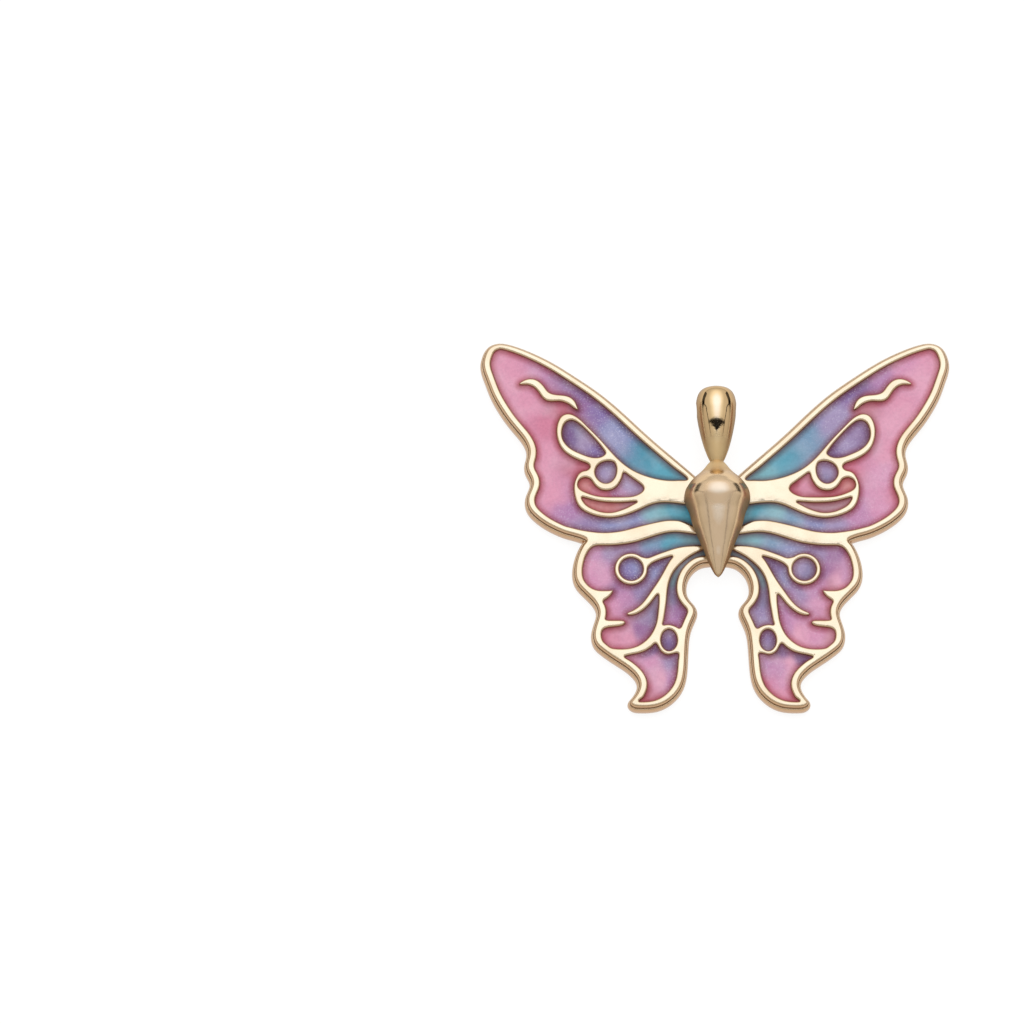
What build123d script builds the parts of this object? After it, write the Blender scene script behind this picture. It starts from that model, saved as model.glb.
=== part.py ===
from build123d import *
import os

# An enamelled butterfly pendant lying on its flat back.
# +X runs along the right wing, +Y towards the head, +Z out of the enamelled face.
# The origin is on the back face, under the body's axis, at the middle of the wings' height.
# All sizes are in millimetres.

# Driving sizes of the wings
half_span = 15.3
wing_height = 24.9
plate_thickness = 1.4
border_width = 0.42
side_border_extra = 0.13
edge_round_share = 0.0036
tip_spread_share = 0.022
pocket_depth = 0.7
enamel_recess = 0.3

# Round and oval eyes of the hindwing
ring_outer_radius = 1.08
ring_pocket_radius = 0.78
oval_half_width = 0.52
oval_half_length = 0.73

# Driving sizes of the body and of the peg that seats it on the wings
body_length = 7.9
body_radius = 2.16
body_axis_lift = 0.6
neck_radius = 0.43
peg_radius = 0.6
peg_length = 0.5

# Driving sizes of the bail, the drop-shaped head that a chain passes through
bail_length = 5.1
bail_radius = 1.33
bore_radius = 0.55
bore_drop = 0.26
tenon_radius = 0.22
tenon_length = 0.7

# Gap filled by solder around a peg or a tenon
solder_gap = 0.03

# Fineness of the border's inner line, and how near to the rim a point of it may come in a tight corner
inset_steps = 150
crowding_share = 0.99

# Sizes worked out from the driving sizes
edge_round = edge_round_share * wing_height
pocket_floor = plate_thickness - pocket_depth
enamel_thickness = pocket_depth - enamel_recess
body_axis_height = plate_thickness + body_axis_lift

# Shares of the wings: across is a share of half_span, up is a share of wing_height.
# Each outline is a list of runs. A run of two points is straight, a longer one is a smooth curve.

# Right half of the wing plate, from the body's axis round the forewing to the notch,
# and from the notch round the hindwing and its tail to the arch under the body.
outline_shares = [
    [
        (0.0, 0.078), (0.10, 0.138), (0.20, 0.193), (0.30, 0.249), (0.40, 0.309), (0.50, 0.363),
        (0.60, 0.407), (0.70, 0.447), (0.80, 0.478), (0.875, 0.495), (0.925, 0.499), (0.965, 0.489),
        (0.988, 0.465), (0.995, 0.442), (0.990, 0.422), (0.978, 0.400), (0.956, 0.362), (0.921, 0.320),
        (0.878, 0.280), (0.838, 0.249), (0.813, 0.225), (0.803, 0.204), (0.806, 0.185), (0.813, 0.166),
        (0.809, 0.148), (0.796, 0.131), (0.790, 0.116), (0.796, 0.100), (0.808, 0.082), (0.812, 0.062),
        (0.803, 0.043), (0.775, 0.022), (0.735, 0.003), (0.69, -0.0125), (0.64, -0.025),
        (0.585, -0.035), (0.562, -0.042),
    ],
    [
        (0.562, -0.042), (0.582, -0.060), (0.597, -0.080), (0.608, -0.103), (0.613, -0.125),
        (0.611, -0.146), (0.600, -0.164), (0.575, -0.183), (0.545, -0.202), (0.522, -0.221),
        (0.513, -0.240), (0.518, -0.258), (0.528, -0.277), (0.535, -0.296), (0.534, -0.314),
        (0.523, -0.331), (0.500, -0.345), (0.45, -0.368), (0.40, -0.389), (0.370, -0.405),
        (0.350, -0.421), (0.342, -0.437), (0.346, -0.452), (0.358, -0.467), (0.374, -0.480),
        (0.384, -0.490), (0.372, -0.500), (0.345, -0.504), (0.31, -0.504), (0.27, -0.501),
        (0.232, -0.492), (0.195, -0.475), (0.165, -0.451), (0.149, -0.425), (0.141, -0.392),
        (0.137, -0.352), (0.133, -0.316), (0.126, -0.291), (0.114, -0.270), (0.102, -0.253),
        (0.096, -0.238), (0.103, -0.224), (0.121, -0.210), (0.136, -0.195), (0.142, -0.177),
        (0.139, -0.158), (0.127, -0.138), (0.105, -0.120), (0.075, -0.107), (0.04, -0.102),
        (0.0, -0.101),
    ],
]

# Forewing: the space over the lower band, reaching past the border on its outer sides
forewing_space_shares = [
    [
        (0.09, -0.006), (0.11, -0.001), (0.13, 0.005), (0.15, 0.0095), (0.18, 0.0122), (0.21, 0.0122),
        (0.25, 0.0084), (0.30, 0.0012), (0.35, -0.007), (0.40, -0.0155), (0.45, -0.0203),
        (0.50, -0.021), (0.55, -0.0175), (0.60, -0.0115), (0.64, -0.0045), (0.70, 0.002),
    ],
    [(0.70, 0.002), (0.85, 0.0)],
    [(0.85, 0.0), (1.05, 0.1)],
    [(1.05, 0.1), (1.05, 0.55)],
    [(1.05, 0.55), (0.09, 0.55)],
    [(0.09, 0.55), (0.09, -0.006)],
]

# Forewing: the gold branch from the body that carries the teardrop, the drop, the crescent and the lens
branch_shares = [
    [
        (0.05, 0.130), (0.10, 0.126), (0.15, 0.123), (0.20, 0.122), (0.25, 0.126), (0.30, 0.1345),
        (0.35, 0.148), (0.40, 0.170), (0.45, 0.2025), (0.50, 0.2385), (0.55, 0.271), (0.58, 0.290),
        (0.605, 0.301), (0.632, 0.3055), (0.657, 0.300), (0.673, 0.286), (0.681, 0.268),
        (0.682, 0.250), (0.6755, 0.230), (0.661, 0.210), (0.64, 0.196), (0.61, 0.184),
        (0.58, 0.1755), (0.556, 0.170),
    ],
    [(0.556, 0.170), (0.540, 0.160), (0.556, 0.149)],
    [
        (0.556, 0.149), (0.572, 0.1475), (0.588, 0.141), (0.600, 0.129), (0.609, 0.112),
        (0.611, 0.095), (0.607, 0.077), (0.5975, 0.058), (0.58, 0.043), (0.55, 0.0315), (0.52, 0.0245),
        (0.48, 0.0195), (0.45, 0.019), (0.42, 0.0215), (0.38, 0.0285), (0.34, 0.0385), (0.30, 0.0505),
        (0.25, 0.060), (0.20, 0.0605), (0.15, 0.057), (0.05, 0.050),
    ],
    [(0.05, 0.050), (0.05, 0.130)],
]

# Forewing: the free gold wave in the coloured field
wave_shares = [
    [
        (0.588, 0.315), (0.593, 0.330), (0.603, 0.3415), (0.618, 0.350), (0.638, 0.355), (0.66, 0.357),
        (0.69, 0.359), (0.712, 0.3645), (0.729, 0.378), (0.745, 0.390), (0.766, 0.399), (0.788, 0.402),
        (0.811, 0.3995), (0.830, 0.393), (0.840, 0.386),
    ],
    [
        (0.840, 0.386), (0.825, 0.3845), (0.805, 0.385), (0.785, 0.3815), (0.767, 0.373),
        (0.752, 0.361), (0.738, 0.348), (0.72, 0.3405), (0.69, 0.339), (0.66, 0.339), (0.64, 0.335),
        (0.62, 0.3275), (0.60, 0.3175), (0.588, 0.315),
    ],
]

# Forewing: the four small pockets in the gold branch
teardrop_shares = [
    [
        (0.473, 0.196), (0.50, 0.222), (0.53, 0.2435), (0.56, 0.2635), (0.59, 0.280), (0.612, 0.287),
        (0.632, 0.2855), (0.647, 0.277), (0.656, 0.263), (0.658, 0.250), (0.6545, 0.2365),
        (0.642, 0.222), (0.61, 0.205), (0.58, 0.196), (0.55, 0.1885), (0.52, 0.1847),
        (0.490, 0.1875), (0.473, 0.196),
    ],
]
drop_shares = [
    [
        (0.438, 0.1725), (0.465, 0.175), (0.49, 0.171), (0.51, 0.160), (0.5185, 0.146), (0.512, 0.130),
        (0.494, 0.118), (0.472, 0.114), (0.450, 0.119), (0.435, 0.131), (0.428, 0.148), (0.430, 0.163),
        (0.438, 0.1725),
    ],
]
crescent_shares = [
    [
        (0.3955, 0.1435), (0.401, 0.133), (0.411, 0.1185), (0.428, 0.104), (0.448, 0.0962),
        (0.47, 0.0935), (0.492, 0.0955), (0.511, 0.1025), (0.526, 0.1135), (0.538, 0.1245),
        (0.554, 0.1295), (0.572, 0.1285), (0.587, 0.1215), (0.593, 0.1105), (0.5875, 0.100),
        (0.57, 0.0923), (0.54, 0.0844), (0.505, 0.0787), (0.465, 0.0766), (0.425, 0.0765),
        (0.39, 0.0767), (0.36, 0.0785), (0.335, 0.084), (0.318, 0.0915), (0.3115, 0.099),
        (0.317, 0.107), (0.333, 0.1155), (0.353, 0.1245), (0.374, 0.1345), (0.3955, 0.1435),
    ],
]
lens_shares = [
    [
        (0.340, 0.063), (0.37, 0.0625), (0.41, 0.0607), (0.45, 0.061), (0.49, 0.063), (0.53, 0.068),
        (0.56, 0.0733), (0.578, 0.0757),
    ],
    [
        (0.578, 0.0757), (0.571, 0.065), (0.56, 0.0555), (0.535, 0.0452), (0.505, 0.0375),
        (0.475, 0.034), (0.445, 0.0345), (0.415, 0.0395), (0.385, 0.047), (0.36, 0.0555),
        (0.340, 0.063),
    ],
]

# Hindwing: the field from the body round the ring and past two border spurs to the lowest lobe
hindwing_space_shares = [
    [
        (0.055, -0.028), (0.13, -0.0232), (0.17, -0.0207), (0.21, -0.022), (0.25, -0.0278),
        (0.30, -0.038), (0.35, -0.048), (0.40, -0.054), (0.45, -0.057), (0.50, -0.0572),
        (0.525, -0.059), (0.545, -0.068), (0.560, -0.083), (0.574, -0.102), (0.600, -0.135),
    ],
    [(0.600, -0.135), (0.600, -0.140)],
    [
        (0.600, -0.140), (0.578, -0.150), (0.56, -0.1635), (0.54, -0.1735), (0.52, -0.179),
        (0.49, -0.181), (0.447, -0.181),
    ],
    [(0.447, -0.181), (0.461, -0.196), (0.482, -0.2065), (0.510, -0.220)],
    [(0.510, -0.220), (0.510, -0.2595)],
    [(0.510, -0.2595), (0.41, -0.263)],
    [(0.41, -0.263), (0.396, -0.268), (0.408, -0.2765)],
    [
        (0.408, -0.2765), (0.43, -0.280), (0.465, -0.2823), (0.488, -0.2865), (0.500, -0.295),
        (0.515, -0.312),
    ],
    [(0.515, -0.312), (0.515, -0.318)],
    [
        (0.515, -0.318), (0.490, -0.3295), (0.465, -0.3375), (0.42, -0.3415), (0.38, -0.3395),
        (0.35, -0.334), (0.32, -0.3225), (0.295, -0.307), (0.277, -0.288), (0.264, -0.264),
        (0.258, -0.237), (0.254, -0.21), (0.2555, -0.1915),
    ],
    [(0.2555, -0.1915), (0.275, -0.206), (0.30, -0.2235), (0.32, -0.235), (0.35, -0.246), (0.378, -0.2498)],
    [(0.378, -0.2498), (0.392, -0.2465), (0.383, -0.2407)],
    [
        (0.383, -0.2407), (0.36, -0.2335), (0.335, -0.222), (0.31, -0.2045), (0.29, -0.1865),
        (0.256, -0.155), (0.234, -0.131), (0.211, -0.105), (0.191, -0.087),
    ],
    [(0.191, -0.087), (0.22, -0.091), (0.25, -0.0975), (0.28, -0.1065), (0.296, -0.116), (0.306, -0.130)],
    [(0.306, -0.130), (0.340, -0.095)],
    [(0.340, -0.095), (0.322, -0.0885), (0.303, -0.0912), (0.28, -0.087), (0.24, -0.0772), (0.20, -0.0683),
     (0.16, -0.0615), (0.12, -0.058), (0.055, -0.056)],
    [(0.055, -0.056), (0.055, -0.028)],
]
ring_centre_share = (0.370, -0.122)

# Hindwing: the slim band beside the arch, reaching past the border on its inner side
inner_band_space_shares = [
    [
        (0.04, -0.064), (0.09, -0.0775), (0.12, -0.0885), (0.15, -0.1035), (0.175, -0.119),
        (0.197, -0.140), (0.210, -0.163), (0.2165, -0.19), (0.2205, -0.216), (0.227, -0.241),
        (0.232, -0.261), (0.237, -0.2765),
    ],
    [(0.237, -0.2765), (0.21, -0.2745), (0.188, -0.278), (0.166, -0.2855)],
    [(0.166, -0.2855), (0.129, -0.2405)],
    [(0.129, -0.2405), (0.09, -0.21)],
    [(0.09, -0.21), (0.10, -0.15)],
    [(0.10, -0.15), (0.03, -0.11)],
    [(0.03, -0.11), (0.04, -0.064)],
]
oval_centre_share = (0.2115, -0.3175)

# Hindwing: the tail under the oval and the lowest lobe, reaching past the border on its outer sides
tail_space_shares = [
    [
        (0.10, -0.352), (0.168, -0.3535), (0.19, -0.3545), (0.215, -0.358), (0.236, -0.354),
        (0.25, -0.346), (0.26, -0.334), (0.269, -0.326),
    ],
    [(0.269, -0.326), (0.29, -0.3375), (0.315, -0.3475), (0.345, -0.354), (0.375, -0.358), (0.406, -0.3635)],
    [(0.406, -0.3635), (0.43, -0.40)],
    [(0.43, -0.40), (0.43, -0.53)],
    [(0.43, -0.53), (0.10, -0.53)],
    [(0.10, -0.53), (0.10, -0.352)],
]

# Place of the body along the wings and its profile from the tip to the neck:
# a share of body_radius out from the axis and a share of body_length along it.
body_tip_share = -0.153
body_profile_shares = [
    (0.0, 0.0), (0.09, 0.02), (0.17, 0.056), (0.26, 0.11), (0.34, 0.16), (0.44, 0.24), (0.58, 0.33),
    (0.71, 0.42), (0.81, 0.513), (0.86, 0.563), (0.93, 0.609), (0.99, 0.655), (1.0, 0.69),
    (0.965, 0.746), (0.885, 0.786), (0.79, 0.824), (0.68, 0.856), (0.545, 0.889), (0.40, 0.932),
    (0.29, 0.972),
]
peg_place_share = 0.62

# Profile of the bail from the neck to the crown, as shares of bail_radius and bail_length
bail_profile_shares = [
    (0.40, 0.04), (0.557, 0.137), (0.678, 0.235), (0.764, 0.333), (0.845, 0.43), (0.914, 0.528),
    (0.966, 0.626), (1.0, 0.724), (0.978, 0.82), (0.868, 0.915), (0.70, 0.965), (0.43, 0.991),
    (0.0, 1.0),
]
bore_place_share = 0.70


def wing_point(share):
    """Turn a pair of wing shares into a point in millimetres, spread a little towards the tips."""
    spread = 1 + tip_spread_share * share[1]
    return (share[0] * half_span * spread, share[1] * wing_height * spread)


def draw_runs(runs):
    """Draw runs of wing shares, straight between two points and smooth through more."""
    drawn = []
    for run in runs:
        points = [wing_point(share) for share in run]
        if len(points) == 2:
            drawn.append(Line(*points))
        else:
            drawn.append(Spline(*points))
    return drawn


def inset_points(curve, outline):
    """Points one border inside a curve of the outline, less those that a tight corner crowds out.

    The border widens where it faces sideways.
    """
    points = []
    for step in range(inset_steps + 1):
        along = step / inset_steps
        tangent = curve % along
        inwards = Vector(tangent.Y, -tangent.X).normalized()
        width = border_width + side_border_extra * abs(inwards.X)
        point = curve @ along + inwards * width
        if outline.distance_to(Vertex(*point)) > crowding_share * width:
            points.append(point)
    return points


def wing_face(runs):
    """Face inside a closed outline of wing shares."""
    with BuildSketch() as face:
        with BuildLine():
            draw_runs(runs)
        make_face()
    return face.sketch


def disc(centre_share, radius):
    """Round face at a place on the right wing."""
    with BuildSketch() as face:
        with Locations(wing_point(centre_share)):
            Circle(radius)
    return face.sketch


def oval(centre_share, half_width, half_length):
    """Oval face at a place on the right wing."""
    with BuildSketch() as face:
        with Locations(wing_point(centre_share)):
            Ellipse(half_width, half_length)
    return face.sketch


def bordered_cell(space, islands=()):
    """Part of a space that lies inside the border, without its gold islands."""
    with BuildSketch() as cell:
        add(space)
        add(enamel_area.sketch, mode=Mode.INTERSECT)
        for island in islands:
            add(island, mode=Mode.SUBTRACT)
    return cell.sketch


# Whole outline of the wings, and the right-hand area inside its border
with BuildLine() as half_outline:
    forewing_edge, hindwing_edge = draw_runs(outline_shares)

with BuildSketch() as wing_outline:
    with BuildLine():
        add(half_outline.line)
        mirror(about=Plane.YZ)
    make_face()

with BuildSketch() as enamel_area:
    with BuildLine():
        forewing_inset = Spline(*inset_points(forewing_edge, half_outline.line))
        hindwing_inset = Spline(*inset_points(hindwing_edge, half_outline.line))
        Line(forewing_inset @ 1, hindwing_inset @ 0)
        Line(hindwing_inset @ 1, forewing_inset @ 0)
    make_face()

# The ten enamel cells of the right wings
right_cells = {
    "forewing_field": bordered_cell(
        wing_face(forewing_space_shares), [wing_face(branch_shares), wing_face(wave_shares)]
    ),
    "forewing_teardrop": wing_face(teardrop_shares),
    "forewing_drop": wing_face(drop_shares),
    "forewing_crescent": wing_face(crescent_shares),
    "forewing_lens": wing_face(lens_shares),
    "hindwing_field": bordered_cell(
        wing_face(hindwing_space_shares), [disc(ring_centre_share, ring_outer_radius)]
    ),
    "hindwing_ring": disc(ring_centre_share, ring_pocket_radius),
    "hindwing_inner_band": bordered_cell(wing_face(inner_band_space_shares)),
    "hindwing_oval": oval(oval_centre_share, oval_half_width, oval_half_length),
    "hindwing_tail": bordered_cell(wing_face(tail_space_shares)),
}
cells = {f"right_{name}": cell for name, cell in right_cells.items()}
for name, cell in right_cells.items():
    cells[f"left_{name}"] = mirror(cell, about=Plane.YZ, mode=Mode.PRIVATE)

# Places along the body's axis
body_tip = body_tip_share * wing_height
neck = body_tip + body_length
peg_place = body_tip + peg_place_share * body_length
bore_place = neck + bore_place_share * bail_length
bore_height = body_axis_height - bore_drop
axis_plane = Plane.XY.offset(body_axis_height)
upright_plane = Plane(origin=(0, 0, body_axis_height), x_dir=(0, 0, 1), z_dir=(-1, 0, 0))
body_axis = Axis((0, 0, body_axis_height), (0, 1, 0))
plate_top = Plane.XY.offset(plate_thickness)

os.makedirs("parts", exist_ok=True)

# Wing plate: one casting with a rounded rim, twenty pockets and a seat for the body's peg
with BuildPart() as wing_plate:
    add(wing_outline.sketch)
    extrude(amount=plate_thickness)
    rim = wing_plate.faces().sort_by(Axis.Z)[-1].outer_wire()
    fillet(rim.edges(), radius=edge_round)
    with BuildSketch(plate_top):
        for cell in cells.values():
            add(cell)
    extrude(amount=-pocket_depth, mode=Mode.SUBTRACT)
    with BuildSketch(plate_top):
        with Locations((0, peg_place)):
            Circle(peg_radius + solder_gap)
    extrude(amount=-(peg_length + solder_gap), mode=Mode.SUBTRACT)
wing_plate.part.label = "wing_plate"
export_step(wing_plate.part, "parts/wing_plate.step")

# Body: a turned spindle, flat underneath, with a peg below and a socket in its neck
with BuildPart() as body:
    with BuildSketch(axis_plane):
        with BuildLine():
            profile = [
                (radius * body_radius, body_tip + along * body_length)
                for radius, along in body_profile_shares
            ]
            Spline(*profile, (neck_radius, neck))
            Line((neck_radius, neck), (0, neck))
            Line((0, neck), (0, body_tip))
        make_face()
    revolve(axis=body_axis)
    split(bisect_by=plate_top, keep=Keep.TOP)
    with BuildSketch(plate_top):
        with Locations((0, peg_place)):
            Circle(peg_radius)
    extrude(amount=-peg_length)
    with BuildSketch(Plane.XZ.offset(-neck)):
        with Locations((0, body_axis_height)):
            Circle(tenon_radius + solder_gap)
    extrude(amount=tenon_length + solder_gap, mode=Mode.SUBTRACT)
body.part.label = "body"
export_step(body.part, "parts/body.step")

# Bail: a turned drop with a bore across it and a tenon that enters the body's neck
with BuildPart() as bail:
    with BuildSketch(upright_plane):
        with BuildLine():
            profile = [
                (radius * bail_radius, neck + along * bail_length) for radius, along in bail_profile_shares
            ]
            Spline((neck_radius, neck), *profile)
            Line((0, neck + bail_length), (0, neck - tenon_length))
            Line((0, neck - tenon_length), (tenon_radius, neck - tenon_length))
            Line((tenon_radius, neck - tenon_length), (tenon_radius, neck))
            Line((tenon_radius, neck), (neck_radius, neck))
        make_face()
    revolve(axis=body_axis)
    with BuildSketch(Plane.YZ):
        with Locations((bore_place, bore_height)):
            Circle(bore_radius)
    extrude(amount=bail_length, both=True, mode=Mode.SUBTRACT)
bail.part.label = "bail"
export_step(bail.part, "parts/bail.step")

# Enamel: one fill for each pocket, a little lower than the gold around it
for name, cell in cells.items():
    with BuildPart() as enamel:
        with BuildSketch(Plane.XY.offset(pocket_floor)):
            add(cell)
        extrude(amount=enamel_thickness)
    enamel.part.label = f"{name}_enamel"
    export_step(enamel.part, f"parts/{name}_enamel.step")
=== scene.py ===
import math

import bpy
import numpy as np
from mathutils import Matrix, Vector, geometry, kdtree, noise


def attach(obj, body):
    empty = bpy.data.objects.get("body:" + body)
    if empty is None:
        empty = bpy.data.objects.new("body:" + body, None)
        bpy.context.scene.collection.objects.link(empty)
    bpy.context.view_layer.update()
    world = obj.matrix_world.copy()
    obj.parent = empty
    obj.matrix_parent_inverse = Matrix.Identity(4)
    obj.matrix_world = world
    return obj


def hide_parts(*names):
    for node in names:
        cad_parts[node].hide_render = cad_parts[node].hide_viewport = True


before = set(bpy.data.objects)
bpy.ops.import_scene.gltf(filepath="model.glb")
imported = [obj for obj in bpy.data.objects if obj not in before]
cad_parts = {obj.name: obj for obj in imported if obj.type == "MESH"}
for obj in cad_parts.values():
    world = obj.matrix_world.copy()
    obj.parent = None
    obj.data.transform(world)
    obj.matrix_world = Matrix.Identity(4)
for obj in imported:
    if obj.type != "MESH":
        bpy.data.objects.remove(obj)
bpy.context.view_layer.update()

# Lengths are in millimetres and become metres where a mesh, material, lamp or camera is made
MM = 0.001

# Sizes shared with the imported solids
HALF_SPAN = 15.3
WING_HEIGHT = 24.9
TIP_SPREAD = 0.022
PLATE_TOP = 1.4
POCKET_FLOOR = 0.7
ENAMEL_TOP = 1.1
AXIS_HEIGHT = 2.0
BODY_TIP_SHARE = -0.153
BODY_TIP = BODY_TIP_SHARE * WING_HEIGHT
BODY_LENGTH = 7.9
BODY_RADIUS = 2.16
BAIL_LENGTH = 5.1
BAIL_RADIUS = 1.33
BORE_RADIUS = 0.55
BORE_PLACE = 7.66
BORE_HEIGHT = 1.74

# The neck between body and bail, and the crest of the body
CREST_SHARE = 0.665
NECK = (0.0, BODY_TIP + BODY_LENGTH, AXIS_HEIGHT)
CREST = (0.0, BODY_TIP + CREST_SHARE * BODY_LENGTH, AXIS_HEIGHT + BODY_RADIUS)

# Spacing of points along an edge, inside a fill, on the casting's top and along a turned profile
EDGE_STEP = 0.075
FILL_STEP = 0.16
CROWN_STEP = 0.1
PROFILE_STEP = 0.04

# Steps in a rounding, round a turned piece and round the bore, and the fewest on any curve
ROUND_STEPS = 6
TURN_STEPS = 144
BORE_STEPS = 48
FEWEST_STEPS = 16

# Rounds of easing that a closed curve, an open curve and a row of widths get
LOOP_EASINGS = 2
PATH_EASINGS = 4
WIDTH_EASINGS = 3

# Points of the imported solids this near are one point, and heights this near are level
WELD_STEP = 0.0005
LEVEL_TOLERANCE = 0.001

# A loop of fewer corners is no edge, and one on the plate's top this near the middle is the peg's hole
FEWEST_CORNERS = 5
PEG_HOLE_REACH = 1.0

# Guards against division by zero and against points that coincide
TINY = 1e-6
MERGE_GAP = 1e-7

# Spacing of an even grid's rows and its distance from an edge, in steps
GRID_ROW_SHARE = 0.866
GRID_CLEAR_SHARE = 0.6

# Where a lip or rim runs into itself it gets the first of these shares of its width that stays clear.
# It also keeps to a share of the gap to its neighbours.
WIDTH_SHARES = (1.0, 0.85, 0.7, 0.55, 0.4, 0.25, 0.1)
WIDTH_CLEAR_SHARE = 0.93
NEIGHBOUR_SHARE = 0.45

# The casting's tops are pillowed: they drop by this much towards their edges, over about this distance
PILLOW_DROP = 0.045
PILLOW_REACH = 0.2
PILLOW_ROUNDS = 160
EDGE_TOP = PLATE_TOP - PILLOW_DROP

# The rim from its top to its widest line: a bead, a fine groove and a swelling flange.
# Each arc has its start and end outside the imported outline, its start and end height, and its darkness,
# which is painted shade, deepest in the groove.
# Below its widest line the flange rounds in under the plate.
RIM_IN = 0.2
RIM_SWELL = 0.14
RIM_WIDEST_HEIGHT = 0.55
RIM_UNDER = 0.14
RIM_ARCS = (
    (-RIM_IN, -0.05, EDGE_TOP, 1.12, 0.0),
    (-0.06, 0.005, 1.08, 1.04, 0.95),
    (0.01, RIM_SWELL, 1.05, RIM_WIDEST_HEIGHT, 0.0),
)

# The pockets' rounded lips, and their painted shade where they meet the wall
LIP_WIDE = 0.15
LIP_DROP = 0.11
LIP_SHADE = 0.45

# The bore's cutter reaches this far to each side, and edges sharper than this angle stay sharp
BORE_REACH = 3.0
SHARP_ANGLE = math.radians(35)

# The enamel sags, climbs its walls by this much over this distance, and swells slowly
ENAMEL_SAG = 0.02
MENISCUS_RISE = 0.13
MENISCUS_REACH = 0.35
SWELL_HEIGHT = 0.012
SWELL_SCALE = 0.8
SWELL_LAYER = 1.0

# Rows of points along the enamel's walls: their distance, and 1 or 2 to keep each or every second point
WALL_ROWS = ((0.05, 1), (0.12, 2))

# How far from its walls the enamel's bands of colour are measured
WALL_REACH = 0.5

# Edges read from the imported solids


def level_loops(node, height):
    """Closed loops of points round a node's flat faces at one height, with the faces on the left."""
    mesh = node.data
    mesh.calc_loop_triangles()
    places = np.empty(len(mesh.vertices) * 3, np.float32)
    mesh.vertices.foreach_get("co", places)
    places = places.reshape(-1, 3) / MM
    corners = np.empty(len(mesh.loop_triangles) * 3, np.int32)
    mesh.loop_triangles.foreach_get("vertices", corners)
    corners = corners.reshape(-1, 3)
    keys, weld = np.unique(np.round(places / WELD_STEP).astype(np.int64), axis=0, return_inverse=True)
    weld = weld.reshape(-1)
    flat = np.all(np.abs(places[corners, 2] - height) < LEVEL_TOLERANCE, axis=1)
    directed = set()
    for first, second, third in weld[corners[flat]]:
        directed.update(((first, second), (second, third), (third, first)))
    following = {a: b for a, b in directed if (b, a) not in directed and a != b}
    loops = []
    while following:
        start, point = following.popitem()
        loop = [start]
        while point != start and point in following:
            loop.append(point)
            point = following.pop(point)
        loops.append(keys[loop][:, :2] * WELD_STEP)
    return [loop for loop in loops if len(loop) >= FEWEST_CORNERS]


def eased(values):
    """Values round a loop, each averaged with its neighbours."""
    return 0.5 * values + 0.25 * (np.roll(values, 1, 0) + np.roll(values, -1, 0))


def smooth_run(points, step):
    """Even points on a smooth curve through a run, whose first and last points only give direction."""
    before, here, after, beyond = points[:-3], points[1:-2], points[2:-1], points[3:]

    def knot_gap(start, end):
        return np.sqrt(np.maximum(np.linalg.norm(end - start, axis=1), TINY))[:, None]

    gap_before, gap, gap_after = knot_gap(before, here), knot_gap(here, after), knot_gap(after, beyond)
    straight = (after - here) / gap
    leave = gap * ((here - before) / gap_before - (after - before) / (gap_before + gap) + straight)
    arrive = gap * (straight - (beyond - here) / (gap + gap_after) + (beyond - after) / gap_after)
    lengths = np.linalg.norm(after - here, axis=1)
    ends = np.cumsum(lengths)
    count = max(FEWEST_STEPS, int(ends[-1] / step))
    along = np.arange(count) * ends[-1] / count
    piece = np.searchsorted(ends, along, side="right")
    share = ((along - (ends - lengths)[piece]) / lengths[piece])[:, None]
    square, cube = share**2, share**3
    return (
        (2 * cube - 3 * square + 1) * here[piece]
        + (cube - 2 * square + share) * leave[piece]
        + (3 * square - 2 * cube) * after[piece]
        + (cube - square) * arrive[piece]
    )


def smooth_loop(points):
    """A closed loop as a smooth curve through its points, with evenly spaced new ones."""
    curve = smooth_run(np.vstack((points[-1:], points, points[:2])), EDGE_STEP)
    for _ in range(LOOP_EASINGS):
        curve = eased(curve)
    return curve


def smooth_path(points):
    """An open path as a smooth curve through its points, with evenly spaced new ones."""
    start, end = 2 * points[:1] - points[1:2], 2 * points[-1:] - points[-2:-1]
    curve = np.vstack((smooth_run(np.vstack((start, points, end)), PROFILE_STEP), points[-1:]))
    for _ in range(PATH_EASINGS):
        curve[1:-1] = eased(curve)[1:-1]
    return curve


def left_normals(loop):
    """Unit vectors to the left of a loop's run."""
    tangents = np.roll(loop, -1, 0) - np.roll(loop, 1, 0)
    tangents /= np.maximum(np.linalg.norm(tangents, axis=1), TINY)[:, None]
    return np.stack((-tangents[:, 1], tangents[:, 0]), axis=1)


def tree_of(points):
    """Search tree of flat points."""
    tree = kdtree.KDTree(len(points))
    for index, (x, y) in enumerate(points):
        tree.insert((x, y, 0.0), index)
    tree.balance()
    return tree


def gap_to(tree, point):
    """Distance from a flat point to the nearest one in a tree."""
    return tree.find((point[0], point[1], 0.0))[2]


def free_widths(loop, normals, width, others=()):
    """How far each point of a loop can move left, up to a width, before it nears itself or the others."""
    tree = tree_of(loop)
    other_tree = tree_of(np.vstack(others)) if others else None
    widths = np.empty(len(loop))
    for index, (point, normal) in enumerate(zip(loop, normals)):
        for share in WIDTH_SHARES:
            if gap_to(tree, point + normal * width * share) > WIDTH_CLEAR_SHARE * width * share:
                break
        widths[index] = width * share
        if other_tree:
            widths[index] = min(widths[index], NEIGHBOUR_SHARE * gap_to(other_tree, point))
    for _ in range(WIDTH_EASINGS):
        widths = np.minimum(widths, eased(widths))
    return widths


def signed_area(loop):
    """Area inside a loop, positive where it runs anticlockwise."""
    after = np.roll(loop, -1, 0)
    return 0.5 * np.sum(loop[:, 0] * after[:, 1] - after[:, 0] * loop[:, 1])


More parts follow.
